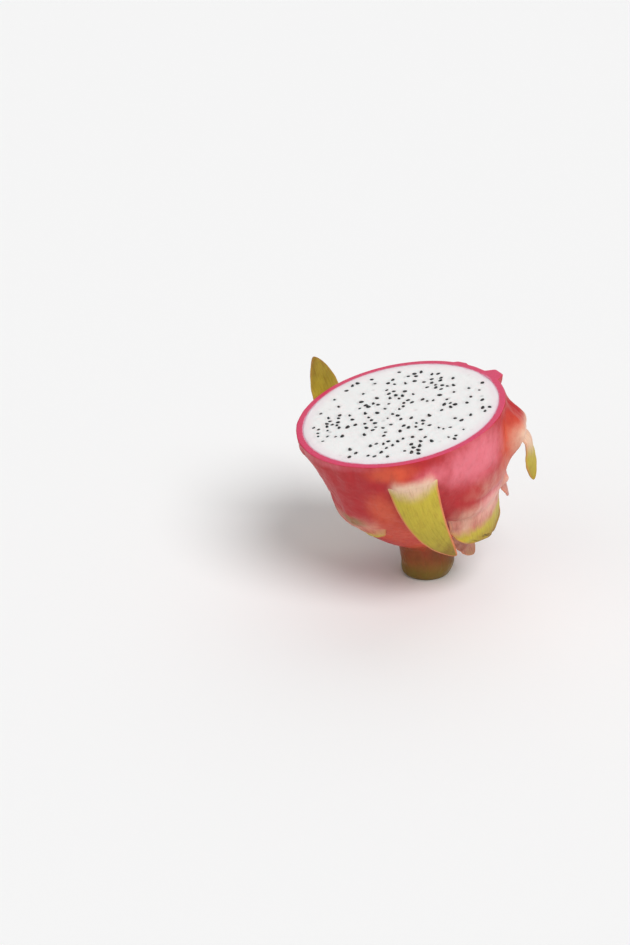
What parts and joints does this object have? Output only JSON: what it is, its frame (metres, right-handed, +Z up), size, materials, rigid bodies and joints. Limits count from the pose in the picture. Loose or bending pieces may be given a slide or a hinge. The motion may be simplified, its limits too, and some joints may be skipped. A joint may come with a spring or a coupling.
{
  "type": "dragon fruit half",
  "caption": "Half of a dragon fruit cut across: white flesh with black seeds in a thin magenta rind with leafy scales, leaning a little on its blunt blossom end.",
  "frame": {"origin": "middle of the bounding box, on the surface that the fruit rests on", "axes": "+Z up; -Y towards the picture's viewer, where the cut face leans down a little; +X to that viewer's right, away from the lower side of the cut face"},
  "size_m": [0.1028, 0.0932, 0.0868],
  "materials": {
    "rind": "waxy skin, magenta to coral, with a soft sheen",
    "flesh": "moist, translucent white pulp",
    "scale": "leathery yellow-green leaf with a salmon edge",
    "seed": "glossy black"
  },
  "bodies": {
    "root": {"rind": "rind", "flesh": "flesh"}
  },
  "joints": []
}
